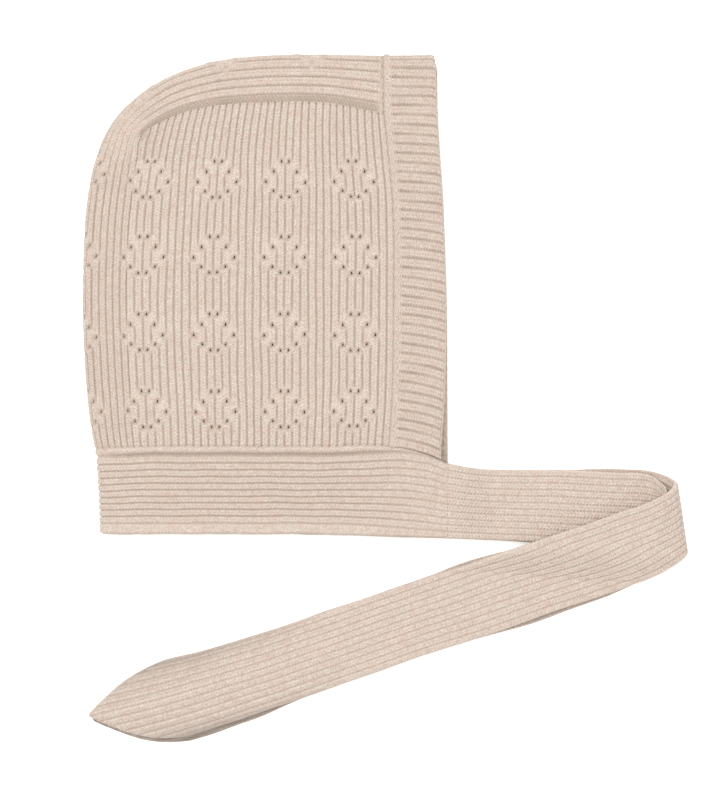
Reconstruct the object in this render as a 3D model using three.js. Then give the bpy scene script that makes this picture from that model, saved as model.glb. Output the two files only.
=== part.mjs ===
import * as THREE from "three";

// Baby bonnet in ribbed knit, lying on its side on the floor with both ties drawn out and folded back.
// Millimetres, Z up, floor at Z = 0. While the pieces are laid out, X runs from the back of the head
// towards the face, and Y from the neck edge up to the crown. "Near" is the upper layer, "far" the one
// on the floor. The last lines move the whole to its own origin.

// Cloth, by thickness
const hoodKnit = 3.0;
const faceKnit = 4.6; // the face band is knitted double
const neckKnit = 2.8;
const tieKnit = 2.4;
const seamGap = 0.3; // clearance left between neighbouring pieces

// How high the hood lies
const hoodFold = 3.7; // outer radius where the hood folds along the back and the crown
const faceFold = 4.9; // the same on the doubled face band
const hoodHeight = 14.2; // top of the near side, well inside the edges
const neckHeight = 11.2; // the same at the neck edge
const riseLength = 14; // how quickly the near side climbs from the fold
const neckRise = 60; // height above the neck edge where the hood has its full depth

// Height of the neck band
const neckTop = 36;

// Where the neck band ends and the ties begin
const tieStart = 150;

// Fold line of the hood, from the neck edge up the back and forward over the crown
const foldLine = [
  { x: 7.4, y: 0 },
  { x: 6.7, y: 20 },
  { x: 5.6, y: 34.5 },
  { x: 3.6, y: 45.5 },
  { x: 1.9, y: 60 },
  { x: 0.7, y: 79 },
  { x: 0.2, y: 98 },
  { x: 0.6, y: 115 },
  { x: 1.7, y: 134 },
  { x: 5, y: 152.5 },
  { x: 11, y: 167.3 },
  { x: 19.2, y: 177.1 },
  { x: 32.9, y: 187 },
  { x: 52.5, y: 194.2 },
  { x: 70, y: 196.7 },
  { x: 86, y: 197.4 },
  { x: 126, y: 197 },
  { x: 148, y: 196.4 },
];

// Width of the back and crown strip on each layer, by distance along the fold line
const stripWidth = [
  { along: 36, width: 16 },
  { along: 60, width: 17.8 },
  { along: 114, width: 18 },
  { along: 146, width: 17.8 },
  { along: 162, width: 15.9 },
  { along: 175, width: 13.1 },
  { along: 197, width: 15.7 },
  { along: 227, width: 18.9 },
  { along: 268, width: 20.1 },
  { along: 280, width: 21.9 },
  { along: 292, width: 24.1 },
];
const crownCorner = 175; // distance along the fold line where the crown seam starts

// Seam and outer edge of the face band, by height
const faceBand = [
  { y: 36, seam: 126.1, nearEdge: 147.6, farEdge: 150.3 },
  { y: 60, seam: 127.6, nearEdge: 149.2, farEdge: 150.2 },
  { y: 97, seam: 128.1, nearEdge: 149.8, farEdge: 149.9 },
  { y: 134, seam: 127.9, nearEdge: 148.6, farEdge: 148.6 },
  { y: 158, seam: 125.7, nearEdge: 147.1, farEdge: 147.1 },
  { y: 175, seam: 124.2, nearEdge: 146.2, farEdge: 146.2 },
  { y: 197, seam: 123.8, nearEdge: 146, farEdge: 146 },
];

// Upper edge of the neck band, by distance from the back
const neckEdge = [
  { x: 0, y: 35 },
  { x: 30, y: 36 },
  { x: 100, y: 36 },
  { x: 126, y: 36.4 },
  { x: 141, y: 33.6 },
  { x: 150, y: 29.8 },
];

// The surface between the two ties, one row for each section across them: the upper edge, the lower
// edge, and how much each rises. The rows close together are the fold, where both ties turn back.
const tieSections = [
  { ux: 150.1, uy: 29.8, uz: 0, lx: 150.1, ly: -0.95, lz: 0 },
  { ux: 159.1, uy: 28.1, uz: 0, lx: 159.1, ly: -1.25, lz: 0 },
  { ux: 168.1, uy: 27.3, uz: 0, lx: 168.1, ly: -1.6, lz: 0 },
  { ux: 196, uy: 27.2, uz: 0, lx: 196, ly: -3.2, lz: 0 },
  { ux: 220.6, uy: 26, uz: 0, lx: 222.6, ly: -4.8, lz: 0 },
  { ux: 230.2, uy: 25.6, uz: 0.05, lx: 236.6, ly: -5.8, lz: 0 },
  { ux: 234.9, uy: 24.5, uz: 0.75, lx: 241.9, ly: -6.3, lz: 0.35 },
  { ux: 238.4, uy: 22.5, uz: 2.45, lx: 244.8, ly: -6.9, lz: 1.55 },
  { ux: 240.2, uy: 19.9, uz: 4.95, lx: 245.8, ly: -8, lz: 3.15 },
  { ux: 239, uy: 17.4, uz: 7.45, lx: 245, ly: -9.6, lz: 4.75 },
  { ux: 235, uy: 15.1, uz: 8.85, lx: 241.6, ly: -11.7, lz: 5.55 },
  { ux: 228.8, uy: 12.5, uz: 9.15, lx: 236.5, ly: -14.6, lz: 4.55 },
  { ux: 220.2, uy: 9.8, uz: 8.55, lx: 228.8, ly: -18.5, lz: 1.75 },
  { ux: 208.7, uy: 5.7, uz: 7.25, lx: 217.3, ly: -23.2, lz: 0 },
  { ux: 185.3, uy: -2.1, uz: 6.15, lx: 194.3, ly: -30.6, lz: 0 },
  { ux: 173, uy: -5.7, uz: 4.75, lx: 182.5, ly: -35, lz: 0 },
  { ux: 158.3, uy: -10.7, uz: 1.55, lx: 167.7, ly: -40.2, lz: 0 },
  { ux: 138.6, uy: -17.6, uz: 0, lx: 148, ly: -46.3, lz: 0 },
  { ux: 99.2, uy: -31.2, uz: 0, lx: 108.7, ly: -60, lz: 0 },
  { ux: 59.9, uy: -43.9, uz: 0, lx: 69.3, ly: -73.6, lz: 0 },
  { ux: 27.9, uy: -52.2, uz: 0, lx: 36.9, ly: -84, lz: 0 },
  { ux: -1.2, uy: -59.3, uz: 0, lx: 7.9, ly: -91.6, lz: 0 },
];
const tieLayer = 1.6; // from that surface to the middle of each tie
const onFloor = tieLayer + tieKnit / 2; // height of that surface where the ties lie on the floor
const overTies = 2 * onFloor + seamGap; // how much higher it is where they cross back over themselves
const nearLift = 5.4; // how much higher the near tie leaves the neck band
const nearLiftLength = 20; // distance over which it comes down onto the far tie
const farSlack = 1.6; // how far the far tie stands off round the fold, at its upper edge
const drop = 14; // distance over which the ties come down off themselves
const farRise = 0.05; // how far the far tie shows above the near one at the fold, in tie widths
const tipAcross = 0.44; // where the point of a tie is, across it
const tipSections = 3; // the sections over which a tie comes to its point
const nearShorter = 0.04; // how much sooner the near tie ends, in sections

// How far the near tie shows below the far one, in tie widths, by position along the sections
const nearSlip = [
  { along: 8, slip: 0 },
  { along: 12, slip: 0.005 },
  { along: 13, slip: 0.02 },
  { along: 14, slip: 0.055 },
  { along: 15, slip: 0.045 },
  { along: 16, slip: 0.01 },
  { along: 16.6, slip: 0 },
  { along: 18.4, slip: 0 },
  { along: 19, slip: 0.06 },
  { along: 21, slip: 0.06 },
];

const clamp01 = (x) => Math.min(1, Math.max(0, x));
const smooth = (x) => clamp01(x) * clamp01(x) * (3 - 2 * clamp01(x));
const lerp = (a, b, f) => a + (b - a) * f;

// A smooth curve through one column of a table, read by another column
function tableCurve(rows, key, column) {
  const slope = rows.map((row, i) => {
    const before = rows[Math.max(0, i - 1)];
    const after = rows[Math.min(rows.length - 1, i + 1)];
    return (after[column] - before[column]) / (after[key] - before[key]);
  });
  return (x) => {
    const at = Math.min(Math.max(x, rows[0][key]), rows[rows.length - 1][key]);
    let i = 0;
    while (i < rows.length - 2 && at > rows[i + 1][key]) i += 1;
    const span = rows[i + 1][key] - rows[i][key];
    const t = (at - rows[i][key]) / span;
    const rise = rows[i + 1][column] - rows[i][column];
    const bend = lerp(slope[i] * span - rise, rise - slope[i + 1] * span, t);
    return rows[i][column] + rise * t + t * (1 - t) * bend;
  };
}

const fold = new THREE.CatmullRomCurve3(foldLine.map((p) => new THREE.Vector3(p.x, p.y, 0)));
const foldLength = fold.getLength();
const foldPoints = fold.getSpacedPoints(240);
const stripWidthAt = tableCurve(stripWidth, "along", "width");
const faceSeamAt = tableCurve(faceBand, "y", "seam");
const nearEdgeAt = tableCurve(faceBand, "y", "nearEdge");
const farEdgeAt = tableCurve(faceBand, "y", "farEdge");
const neckEdgeAt = tableCurve(neckEdge, "x", "y");
const backAt = tableCurve(foldLine.slice(0, 5), "y", "x");
const outgoingEdgeAt = tableCurve(tieSections.slice(0, 6), "lx", "ly");
const nearSlipAt = tableCurve(nearSlip, "along", "slip");

// Distance of a point of the layout from the fold line
function depthOf(x, y) {
  return foldPoints.reduce((least, p) => Math.min(least, Math.hypot(p.x - x, p.y - y)), Infinity);
}

// Top of the near layer, at a depth from the fold and a height above the neck edge
function topAt(depth, y, radius) {
  const full = lerp(neckHeight, hoodHeight, smooth(y / neckRise));
  const rise = 1 - Math.exp(-Math.max(0, depth - radius) / riseLength);
  return 2 * radius + (full - 2 * radius) * rise;
}

// The folded section of a piece: near layer, fold, far layer. Each step is a depth and a height
// for the outer and the inner skin.
function foldedSection(width, y, radius, wall, flatSteps, arcSteps) {
  const steps = [];
  for (let i = 0; i <= flatSteps; i += 1) {
    const depth = lerp(width, radius, i / flatSteps);
    const top = topAt(depth, y, radius);
    steps.push({ outer: [depth, top], inner: [depth, top - wall] });
  }
  for (let i = 1; i < arcSteps; i += 1) {
    const angle = (Math.PI * i) / arcSteps;
    const at = (r) => [radius - r * Math.sin(angle), radius + r * Math.cos(angle)];
    steps.push({ outer: at(radius), inner: at(radius - wall) });
  }
  for (let i = 0; i <= flatSteps; i += 1) {
    const depth = lerp(radius, width, i / flatSteps);
    steps.push({ outer: [depth, 0], inner: [depth, wall] });
  }
  return steps;
}

// A closed wall of cloth from a grid of outer and inner points. Rounded rims are drawn in
// towards the middle of the cloth.
function clothWall(rows, cols, pointAt, roundedCols = []) {
  const count = (rows + 1) * (cols + 1);
  const index = (skin, r, c) => skin * count + r * (cols + 1) + c;
  const points = new Array(2 * count);
  for (let r = 0; r <= rows; r += 1) {
    for (let c = 0; c <= cols; c += 1) {
      const { outer, inner } = pointAt(r, c);
      const pinch = roundedCols.includes(c) ? 0.28 : 0;
      points[index(0, r, c)] = outer.clone().lerp(inner, pinch);
      points[index(1, r, c)] = inner.clone().lerp(outer, pinch);
    }
  }
  const faces = [];
  const quad = (a, b, c, d) => faces.push(a, b, c, a, c, d);
  for (let r = 0; r < rows; r += 1) {
    for (let c = 0; c < cols; c += 1) {
      quad(index(0, r, c), index(0, r, c + 1), index(0, r + 1, c + 1), index(0, r + 1, c));
      quad(index(1, r, c), index(1, r + 1, c), index(1, r + 1, c + 1), index(1, r, c + 1));
    }
  }
  for (let c = 0; c < cols; c += 1) {
    quad(index(0, 0, c), index(1, 0, c), index(1, 0, c + 1), index(0, 0, c + 1));
    quad(index(0, rows, c + 1), index(1, rows, c + 1), index(1, rows, c), index(0, rows, c));
  }
  for (let r = 0; r < rows; r += 1) {
    quad(index(0, r + 1, 0), index(1, r + 1, 0), index(1, r, 0), index(0, r, 0));
    quad(index(0, r, cols), index(1, r, cols), index(1, r + 1, cols), index(0, r + 1, cols));
  }
  return closedGeometry(points, faces);
}

// Geometry with its faces pointing out, whichever way round the grid was
function closedGeometry(points, faces) {
  let volume = 0;
  for (let i = 0; i < faces.length; i += 3) {
    const [a, b, c] = [points[faces[i]], points[faces[i + 1]], points[faces[i + 2]]];
    volume += a.dot(new THREE.Vector3().crossVectors(b, c));
  }
  const outward = volume > 0 ? faces : faces.toReversed();
  const geometry = new THREE.BufferGeometry().setFromPoints(points);
  geometry.setIndex(outward);
  geometry.computeVertexNormals();
  return geometry;
}

// Plan of the back and crown: a distance along the fold line, and a depth in from it. It starts
// level on the neck band and soon runs square to the fold.
function stripPlan(along, depth) {
  const edge = fold.getPointAt(along / foldLength);
  const ahead = fold.getTangentAt(along / foldLength);
  const turned = smooth((along - neckTop) / 40);
  const inward = new THREE.Vector2(lerp(1, ahead.y, turned), -ahead.x * turned).normalize();
  const plan = new THREE.Vector2(edge.x, edge.y).addScaledVector(inward, depth);
  const settled = smooth((along - neckTop) / 20);
  plan.y += lerp(neckEdgeAt(plan.x) + seamGap - neckTop, 0, settled);
  return plan;
}

// Back and crown strip
function backCrownStrip() {
  const rows = 40;
  const sections = [];
  const end = foldLength - (foldLine.at(-1).x - faceSeamAt(foldLine.at(-1).y)) - 2 * seamGap;
  for (let r = 0; r <= rows; r += 1) {
    const along = lerp(neckTop, end, r / rows);
    const level = fold.getPointAt(along / foldLength).y;
    const width = stripWidthAt(along) - seamGap / 2;
    const place = ([depth, z]) => {
      const plan = stripPlan(along, depth);
      return new THREE.Vector3(plan.x, plan.y, z);
    };
    const steps = foldedSection(width, level, hoodFold, hoodKnit, 3, 6);
    sections.push(steps.map((step) => ({ outer: place(step.outer), inner: place(step.inner) })));
  }
  return clothWall(rows, sections[0].length - 1, (r, c) => sections[r][c]);
}

// Plan of a side: a patch between the back, the face band, the neck band and the crown seam
function sidePlan(across, up) {
  const seamX = (y) => faceSeamAt(y) - seamGap;
  const topRight = new THREE.Vector2(seamX(174), 174);
  const crownEnd = foldLength - (foldLine.at(-1).x - topRight.x);
  const stripEdge = (along) => stripPlan(along, stripWidthAt(along) + seamGap);
  const left = (f) => stripEdge(lerp(neckTop, crownCorner, f));
  const top = (f) => stripEdge(lerp(crownCorner, crownEnd, f));
  const topEnd = top(1);
  const right = (f) => {
    const y = lerp(neckEdgeAt(seamX(neckTop)) + seamGap, topEnd.y, f);
    return new THREE.Vector2(lerp(seamX(y), topEnd.x, smooth(f * 4 - 3)), y);
  };
  const low = (f) => {
    const x = lerp(left(0).x, right(0).x, f);
    return new THREE.Vector2(x, neckEdgeAt(x) + seamGap);
  };
  const ruledUp = low(across).lerp(top(across), up);
  const ruledAcross = left(up).lerp(right(up), across);
  const corners = low(0).lerp(low(1), across).lerp(left(1).lerp(topEnd, across), up);
  return ruledUp.add(ruledAcross).sub(corners);
}

function sidePanel(far) {
  const rows = 16;
  const cols = 14;
  return clothWall(rows, cols, (r, c) => {
    const plan = sidePlan(c / cols, r / rows);
    const outer = far ? 0 : topAt(depthOf(plan.x, plan.y), plan.y, hoodFold);
    const inner = far ? hoodKnit : outer - hoodKnit;
    return {
      outer: new THREE.Vector3(plan.x, plan.y, outer),
      inner: new THREE.Vector3(plan.x, plan.y, inner),
    };
  });
}

// Face band: near cheek, over the forehead, far cheek
function faceBandWall() {
  const cols = 5;
  const crown = foldLine.at(-1).y + 0.7;
  const shares = [0, 0.3, 0.6, 0.85, 0.96, 1];
  const width = crown - neckTop;
  const steps = foldedSection(width, crown, faceFold, faceKnit, 16, 8);
  const half = (steps.length - 1) / 2;
  const sections = shares.map((share) => {
    const corner = Math.max(0, share - 0.9) * 12;
    return steps.map((step, i) => {
      const edgeAt = i < half ? nearEdgeAt : farEdgeAt;
      const low = neckEdgeAt(lerp(faceSeamAt(neckTop), edgeAt(neckTop), share)) + 2 * seamGap;
      const place = ([depth, z]) => {
        const y = lerp(crown - corner, low, depth / width);
        return new THREE.Vector3(lerp(faceSeamAt(y), edgeAt(y), share), y, z);
      };
      return { outer: place(step.outer), inner: place(step.inner) };
    });
  });
  return clothWall(sections[0].length - 1, cols, (r, c) => sections[c][r], [cols]);
}

// Neck band: near end, round the back, far end
function neckBandWall() {
  const rows = 6;
  const flatSteps = 16;
  const shares = [0, 0.05, 0.25, 0.5, 0.75, 0.95, 1];
  const neckFold = hoodFold;
  const sections = shares.map((share) => {
    const y0 = share * neckTop;
    const back = backAt(y0);
    const width = tieStart - seamGap - back;
    const steps = foldedSection(width, y0, neckFold, neckKnit, flatSteps, 6);
    const place = ([depth, z]) => {
      const x = back + depth;
      return new THREE.Vector3(x, lerp(lowAt(x), neckEdgeAt(x), share), z);
    };
    return steps.map((step) => ({ outer: place(step.outer), inner: place(step.inner) }));
  });
  return clothWall(sections[0].length - 1, rows, (r, c) => sections[c][r], [0]);
}

// Lower edge of the neck band, which runs on into the lower edge of the ties
function lowAt(x) {
  return lerp(0.5, tieSections[0].ly, smooth((x - 85) / (tieStart - 85)));
}

// How much the surface between the ties has to rise to clear what lies under it
function supportAt(x, y) {
  return lerp(overTies, 0, smooth((outgoingEdgeAt(x) - y) / drop));
}

const upperEdge = tieSections.map((s) => new THREE.Vector3(s.ux, s.uy, onFloor + s.uz));
const lowerEdge = tieSections.map((s) => new THREE.Vector3(s.lx, s.ly, onFloor + s.lz));
const upperLine = new THREE.CatmullRomCurve3(upperEdge);
const lowerLine = new THREE.CatmullRomCurve3(lowerEdge);
const foldRow = 8; // the section of tieSections where the ties turn back

// The surface between the ties, by position along its sections and across it
function tieSurface(along, across) {
  const share = along / (tieSections.length - 1);
  const upper = upperLine.getPoint(share);
  const lower = lowerLine.getPoint(share);
  const point = upper.clone().lerp(lower, across);
  const straight = lerp(supportAt(upper.x, upper.y), supportAt(lower.x, lower.y), across);
  point.z += (supportAt(point.x, point.y) - straight) * smooth((along - foldRow) / 3);
  point.z = Math.max(point.z, onFloor);
  return point;
}

function tieNormal(along, across) {
  const step = 0.02;
  const after = Math.min(along + step, tieSections.length - 1);
  const before = Math.max(along - step, 0);
  const ahead = tieSurface(after, across).sub(tieSurface(before, across));
  const over = tieSurface(along, across + step).sub(tieSurface(along, across - step));
  return new THREE.Vector3().crossVectors(ahead, over).normalize();
}

// How far short of its point a tie ends, in sections: rounded shoulders and a blunt point
function tipCut(across) {
  const off = Math.abs(across - tipAcross) / (across < tipAcross ? tipAcross : 1 - tipAcross);
  return 0.87 * (Math.hypot(off, 0.06) - 0.06) + 0.36 * off ** 6;
}

// Positions of a tie's rows along its sections, closer together round the fold and at the tip
function tieRows() {
  const stretches = [
    { to: 4, steps: 8 },
    { to: 13, steps: 38 },
    { to: 18, steps: 12 },
    { to: tieSections.length - 1, steps: 8 },
  ];
  const rows = [0];
  for (const { to, steps } of stretches) {
    const from = rows.at(-1);
    for (let i = 1; i <= steps; i += 1) rows.push(lerp(from, to, i / steps));
  }
  return rows;
}

function tie(near) {
  const rows = tieRows();
  const shares = [0, 0.06, 0.26, tipAcross, 0.7, 0.94, 1];
  const cols = shares.length - 1;
  const side = near ? -1 : 1;
  const last = rows.at(-1);
  const tipStart = last - tipSections;
  const grid = (r, c) => {
    const across = shares[c];
    const kept = (tipSections - tipCut(across) - (near ? nearShorter : 0)) / tipSections;
    const along = Math.min(rows[r], tipStart) + Math.max(0, rows[r] - tipStart) * kept;
    const rise = farRise * (1 - across) * smooth(along - 3) * smooth((11 - along) / 4);
    const slipped = across + (near ? nearSlipAt(along) : -rise);
    const middle = tieSurface(along, slipped);
    const normal = tieNormal(along, slipped);
    const lifted = near && along < foldRow;
    const lift = lifted ? nearLift * (1 - smooth((middle.x - tieStart) / nearLiftLength)) : 0;
    const slack = near ? 0 : farSlack * (1 - across) * smooth(1 - Math.abs(along - foldRow) / 2);
    middle.addScaledVector(normal, side * (tieLayer + slack));
    middle.z += lift;
    return {
      outer: middle.clone().addScaledVector(normal, tieKnit / 2),
      inner: middle.clone().addScaledVector(normal, -tieKnit / 2),
    };
  };
  return clothWall(rows.length - 1, cols, grid, [0, cols]);
}

function knitMesh(name, geometry, color) {
  const material = new THREE.MeshStandardMaterial({ color, roughness: 0.95, metalness: 0 });
  const mesh = new THREE.Mesh(geometry, material);
  mesh.name = name;
  return mesh;
}

const bonnet = new THREE.Group();
bonnet.add(knitMesh("back_crown_strip", backCrownStrip(), 0xd9c6b8));
bonnet.add(knitMesh("side_panel_near", sidePanel(false), 0xdbc9ba));
bonnet.add(knitMesh("side_panel_far", sidePanel(true), 0xdbc9ba));
bonnet.add(knitMesh("face_band", faceBandWall(), 0xdbc9ba));
bonnet.add(knitMesh("neck_band", neckBandWall(), 0xd9c7b8));
bonnet.add(knitMesh("tie_near", tie(true), 0xdbc8ba));
bonnet.add(knitMesh("tie_far", tie(false), 0xdbc8ba));

// Origin at the middle of the footprint, on the floor
const box = new THREE.Box3().setFromObject(bonnet);
const middle = box.getCenter(new THREE.Vector3());
bonnet.position.set(-middle.x, -middle.y, -box.min.z);

export default bonnet;
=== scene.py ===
import math

import bpy
import numpy as np
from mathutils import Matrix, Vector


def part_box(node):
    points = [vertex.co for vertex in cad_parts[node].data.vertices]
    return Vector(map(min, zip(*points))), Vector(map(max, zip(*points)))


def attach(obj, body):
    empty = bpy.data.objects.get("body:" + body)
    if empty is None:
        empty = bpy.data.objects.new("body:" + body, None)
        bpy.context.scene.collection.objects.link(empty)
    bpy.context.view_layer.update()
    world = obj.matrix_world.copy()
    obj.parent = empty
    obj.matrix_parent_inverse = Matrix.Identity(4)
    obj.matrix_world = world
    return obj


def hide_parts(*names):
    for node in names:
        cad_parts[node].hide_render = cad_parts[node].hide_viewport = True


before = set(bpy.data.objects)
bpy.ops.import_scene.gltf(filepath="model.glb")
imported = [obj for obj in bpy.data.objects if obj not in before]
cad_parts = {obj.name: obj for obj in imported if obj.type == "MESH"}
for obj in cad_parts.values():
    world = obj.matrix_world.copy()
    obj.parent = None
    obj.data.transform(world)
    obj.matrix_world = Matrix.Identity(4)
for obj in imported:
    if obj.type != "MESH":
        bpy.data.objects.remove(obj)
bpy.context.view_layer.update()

print("frame loaded")

# Baby bonnet in ribbed knit, lying on its side with both ties drawn out and folded back.
# Shapes are laid out in millimetres: x from the back of the head to the face, y up from the neck
# edge, z up from the floor. A knit position is (rib, stitch): valleys lie at whole ribs.
layout = {
    "hoodFold": 3.7,      # outer radius where the hood folds
    "faceFold": 4.9,      # the same on the doubled face band
    "hoodHeight": 14.2,   # top of the near side, well inside the edges
    "neckHeight": 11.2,   # the same at the neck edge
    "riseLength": 14.0,   # how quickly the near side climbs from the fold
    "neckRise": 60.0,
    "neckTop": 36.0,
    "tieStart": 150.0,
    "seamGap": 0.3,
    "stripRibs": 7,       # ribs of the back strip on each layer
    "sideRibs": 41,       # rib number at the face seam
    "stitchSize": 1.3,    # mm from one stitch of the hood to the next
    "ribSize": 3.1,       # mm from one rib of the sides to the next
    "neckDip": 1.2,       # how far the neck band reaches below the neck line at its tie end
}
foldLine = [  # x, y up the back and over the crown
    (7.4, 0), (6.7, 20), (5.6, 34.5), (3.6, 45.5), (1.9, 60), (0.7, 79),
    (0.2, 98), (0.6, 115), (1.7, 134), (5, 152.5), (11, 167.3), (19.2, 177.1),
    (32.9, 187), (52.5, 194.2), (70, 196.7), (86, 197.4), (126, 197), (148, 196.4),
]
stripWidth = [  # distance along the fold line, width on each layer
    (36, 16), (60, 17.8), (114, 18), (146, 17.8), (162, 15.9), (175, 13.1),
    (197, 15.7), (227, 18.9), (268, 20.1), (280, 21.9), (292, 24.1),
]
crownCorner = 175  # distance along the fold line where the crown seam starts
faceEdges = [  # height, seam, near edge, far edge
    (36, 126.1, 147.6, 150.3), (60, 127.6, 149.2, 150.2), (97, 128.1, 149.8, 149.9),
    (134, 127.9, 148.6, 148.6), (158, 125.7, 147.1, 147.1), (175, 124.2, 146.2, 146.2),
    (197, 123.8, 146, 146),
]
neckEdge = [(0, 35), (30, 36), (100, 36), (126, 36.4), (141, 33.6), (150, 29.8)]


def smooth(x):
    x = np.clip(x, 0, 1)
    return x * x * (3 - 2 * x)


def lerp(a, b, f):
    return a + (b - a) * f


def tableCurve(xs, ys):  # a smooth curve through a table
    xs, ys = np.array(xs, float), np.array(ys, float)
    before = np.maximum(np.arange(len(xs)) - 1, 0)
    after = np.minimum(np.arange(len(xs)) + 1, len(xs) - 1)
    slope = (ys[after] - ys[before]) / (xs[after] - xs[before])

    def curve(x):
        at = np.clip(x, xs[0], xs[-1])
        i = np.clip(np.searchsorted(xs, at, side="left") - 1, 0, len(xs) - 2)
        span = xs[i + 1] - xs[i]
        t = (at - xs[i]) / span
        rise = ys[i + 1] - ys[i]
        bend = lerp(slope[i] * span - rise, rise - slope[i + 1] * span, t)
        return ys[i] + rise * t + t * (1 - t) * bend

    return curve


def splineThrough(points):  # a centripetal spline, by share of its points
    p = np.array(points, float)
    p = np.vstack([2 * p[0] - p[1], p, 2 * p[-1] - p[-2]])
    reach = np.maximum(np.sum(np.diff(p, axis=0) ** 2, axis=1) ** 0.25, 1e-4)

    def curve(share):
        place = np.clip(np.asarray(share, float), 0, 1) * (len(p) - 3)
        i = np.clip(np.floor(place).astype(int), 0, len(p) - 4)
        t = (place - i)[..., None]
        a, b, c, d = p[i], p[i + 1], p[i + 2], p[i + 3]
        d0, d1, d2 = reach[i][..., None], reach[i + 1][..., None], reach[i + 2][..., None]
        leave = ((b - a) / d0 - (c - a) / (d0 + d1) + (c - b) / d1) * d1
        arrive = ((c - b) / d1 - (d - b) / (d1 + d2) + (d - c) / d2) * d1
        return (b + leave * t + (3 * (c - b) - 2 * leave - arrive) * t ** 2
                + (2 * (b - c) + leave + arrive) * t ** 3)

    return curve


def column(rows, i):
    return [row[i] for row in rows]


foldPoints = splineThrough(foldLine)(np.linspace(0, 1, 6000))
foldSteps = np.r_[0, np.cumsum(np.hypot(*np.diff(foldPoints, axis=0).T))]
foldLength = foldSteps[-1]
foldAhead = np.gradient(foldPoints, foldSteps, axis=0)
stripWidthAt = tableCurve(column(stripWidth, 0), column(stripWidth, 1))
faceSeamAt = tableCurve(column(faceEdges, 0), column(faceEdges, 1))
nearEdgeAt = tableCurve(column(faceEdges, 0), column(faceEdges, 2))
farEdgeAt = tableCurve(column(faceEdges, 0), column(faceEdges, 3))
neckEdgeAt = tableCurve(column(neckEdge, 0), column(neckEdge, 1))
backAt = tableCurve(column(foldLine[:5], 1), column(foldLine[:5], 0))


def onFold(along, values):
    return np.stack([np.interp(along, foldSteps, values[:, k]) for k in (0, 1)], axis=-1)


def depthOf(x, y):  # distance from the fold line
    best = np.full(x.shape, np.inf)
    for foldX, foldY in foldPoints[::30]:
        best = np.minimum(best, (x - foldX) ** 2 + (y - foldY) ** 2)
    return np.sqrt(best)


def topAt(depth, y, radius):  # top of the near layer
    full = lerp(layout["neckHeight"], layout["hoodHeight"], smooth(y / layout["neckRise"]))
    rise = 1 - np.exp(-np.maximum(0, depth - radius) / layout["riseLength"])
    return 2 * radius + (full - 2 * radius) * rise


def roundFold(s, radius, y):  # depth and height at s mm from the middle of a fold
    a = np.clip(s / radius, -math.pi / 2, math.pi / 2)
    depth = radius - radius * np.cos(a) + np.maximum(np.abs(s) - math.pi * radius / 2, 0)
    z = radius + radius * np.sin(a)
    flat = s > math.pi * radius / 2
    return depth, np.where(flat, topAt(depth, y, radius), z)


def arcOf(width, radius):  # length of one layer of a folded section, from the middle of the fold
    return width - radius + math.pi * radius / 2


def stripPlan(along, depth):
    edge, ahead = onFold(along, foldPoints), onFold(along, foldAhead)
    turned = smooth((along - layout["neckTop"]) / 40)
    inX, inY = lerp(1, ahead[..., 1], turned), -ahead[..., 0] * turned
    size = np.hypot(inX, inY)
    x, y = edge[..., 0] + inX / size * depth, edge[..., 1] + inY / size * depth
    settled = smooth((along - layout["neckTop"]) / 20)
    y = y + lerp(neckEdgeAt(x) + layout["seamGap"] - layout["neckTop"], 0, settled)
    return x, y


def wander(a, b, seed, size):  # slow uneven waves, the small irregularities of hand-laid knit
    a, b = a / size, b / size
    return (np.sin(1.9 * a + 1.3 * seed + 1.7 * np.sin(0.9 * b + seed))
            + np.sin(1.1 * b - 2.1 * seed + 1.4 * np.sin(1.3 * a - seed))
            + 0.6 * np.sin(2.7 * a + 2.3 * b + 3.7 * seed)) / 2.6


# where the layout's corner stands in the frame, in mm
origin = np.array([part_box("back_crown_strip")[0].x * 1000,
                   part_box("neck_band")[0].y * 1000 + layout["neckDip"], 0])


# A rib of knit, valley to valley: two legs of stitches with a faint midline between them.
def ribHeight(rib, stitch, valley, sharp, dip, bump):
    off = np.abs(rib - np.floor(rib) - 0.5)
    legs = -valley * (2 * off) ** sharp - dip * np.exp(-(off / 0.09) ** 2)
    uneven = 1 + 0.8 * wander(rib * 3, stitch, 9.0, 0.8)
    return legs + bump * uneven * np.cos(2 * math.pi * stitch) * (1 - (2 * off) ** 2)


# Painted shading of a rib: painted shade in its valleys, faintly so along its middle, a painted highlight on
# its legs.
def ribPaintedShading(rib, narrow=4.0, midline=0.3):
    off = 2 * np.abs(rib - np.floor(rib) - 0.5)
    legs = 0.3 * np.exp(-((off - 0.52) / 0.2) ** 2)
    return 1.1 * off ** narrow + midline * np.exp(-(off / 0.22) ** 2) - legs


def roundedOff(distance, radius):  # how far a skin draws in towards a rounded edge
    near = np.clip(radius - distance, 0, radius)
    return np.minimum(radius - np.sqrt(radius ** 2 - near ** 2), radius - 0.25)


def closedUp(eyelets, rib, stitch, size):  # stitches drawn together round each eyelet
    moveRib, moveStitch = np.zeros_like(rib), np.zeros_like(stitch)
    for eyeRib, eyeStitch, _ in eyelets:
        part = (np.abs(rib - eyeRib) < 2) & (np.abs(stitch - eyeStitch) < 5)
        across, along = rib[part] - eyeRib, stitch[part] - eyeStitch
        distance = np.hypot(across * size[0], along * size[1])
        pull = eyelet["pull"] * np.exp(-(distance / eyelet["reach"]) ** 2)
        moveRib[part] -= across * pull
        moveStitch[part] -= along * pull
    return rib + moveRib, stitch + moveStitch


eyelet = {
    "pull": 0.72,        # how far the stitches close round an eyelet
    "reach": 0.9,        # mm over which they do
    "dimple": 0.85,      # mm from its middle, where the yarn sinks in
    "depth": 0.8,        # mm
    "paintedShadeLevel": 1.6,     # painted shade at its bottom, where the painted shade of the valleys between ribs is 1
    "length": 1.35,      # of the dimple over its width
}


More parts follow.
